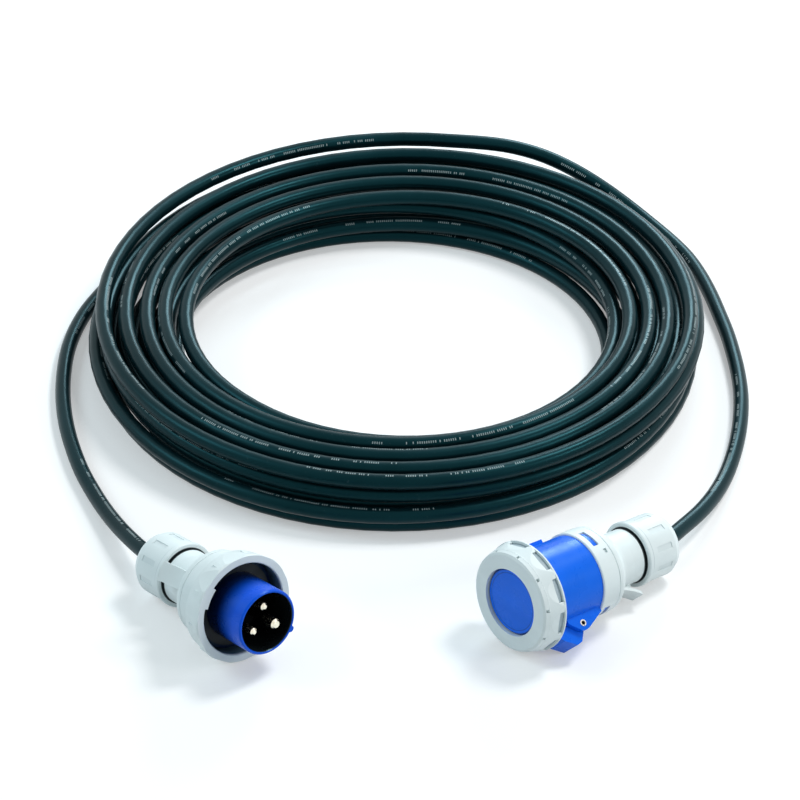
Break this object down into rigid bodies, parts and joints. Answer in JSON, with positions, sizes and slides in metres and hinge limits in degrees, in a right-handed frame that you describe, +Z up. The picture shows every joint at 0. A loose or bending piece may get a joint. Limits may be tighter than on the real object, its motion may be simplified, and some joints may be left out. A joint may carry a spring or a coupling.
{
  "type": "shore power cord",
  "caption": "Coiled rubber shore power cord with a weatherproof plug and its turning bayonet ring at one end, and a socket connector with a sprung lid and lid ring at the other.",
  "frame": {"origin": "on the floor, below the middle of the box round the plug and the connector together", "axes": "+Z up from the floor the cord lies on; the plug points along +X and the connector along -Y, each tilted a little upward"},
  "size_m": [0.5787, 0.588, 0.0733],
  "materials": {
    "cable_rubber": "satin",
    "core_brown": "satin",
    "core_blue": "satin",
    "core_green_yellow": "satin",
    "contact_metal": "polished",
    "steel": "satin",
    "seal_rubber": "matt",
    "insert_black": "matt",
    "housing_blue": "satin",
    "housing_grey": "satin"
  },
  "bodies": {
    "cord": {"plug_rear_housing": "housing_grey", "plug_gland_nut": "housing_grey", "plug_gland_clamp": "housing_grey", "plug_gland_seal": "seal_rubber", "plug_cable_end": "cable_rubber", "plug_line_core": "core_brown", "plug_neutral_core": "core_blue", "plug_earth_core": "core_green_yellow", "plug_terminal_screws": "steel", "plug_pin_carrier": "insert_black", "line_pin": "contact_metal", "neutral_pin": "contact_metal", "earth_pin": "contact_metal", "plug_shroud": "housing_blue", "plug_housing_seal": "seal_rubber", "plug_face_gasket": "seal_rubber", "connector_rear_housing": "housing_grey", "connector_gland_nut": "housing_grey", "connector_gland_clamp": "housing_grey", "connector_gland_seal": "seal_rubber", "connector_cable_end": "cable_rubber", "connector_line_core": "core_brown", "connector_neutral_core": "core_blue", "connector_earth_core": "core_green_yellow", "connector_terminal_screws": "steel", "contact_carrier": "insert_black", "line_contact": "contact_metal", "neutral_contact": "contact_metal", "earth_contact": "contact_metal", "connector_body": "housing_blue", "connector_housing_seal": "seal_rubber", "hinge_pin": "steel", "lid_spring": "steel", "plug_tail": "cable_rubber", "cable_coil": "cable_rubber", "connector_tail": "cable_rubber"},
    "plug_ring": {"plug_bayonet_ring": "housing_grey"},
    "lid": {"lid": "housing_blue", "lid_gasket": "seal_rubber"},
    "lid_ring": {"lid_bayonet_ring": "housing_grey", "lid_ring_clip": "steel"}
  },
  "joints": [
    {"name": "plug_ring_turn", "type": "hinge", "parent": "cord", "child": "plug_ring", "pos_m": [-0.03231, -0.1155, 0.03527], "axis": [0.9845, 0, 0.1752], "range_deg": [0, 50]},
    {"name": "lid_hinge", "type": "hinge", "parent": "cord", "child": "lid", "pos_m": [0.10525, 0.05111, 0.01393], "axis": [0.6428, 0.1025, 0.7592], "range_deg": [0, 110], "stiffness_Nm_per_rad": 0.05, "springref_deg": -68.75},
    {"name": "lid_ring_turn", "type": "hinge", "parent": "lid", "child": "lid_ring", "pos_m": [0.0815, 0.02503, 0.03756], "axis": [0, -0.991, 0.1338], "range_deg": [0, 40]}
  ]
}
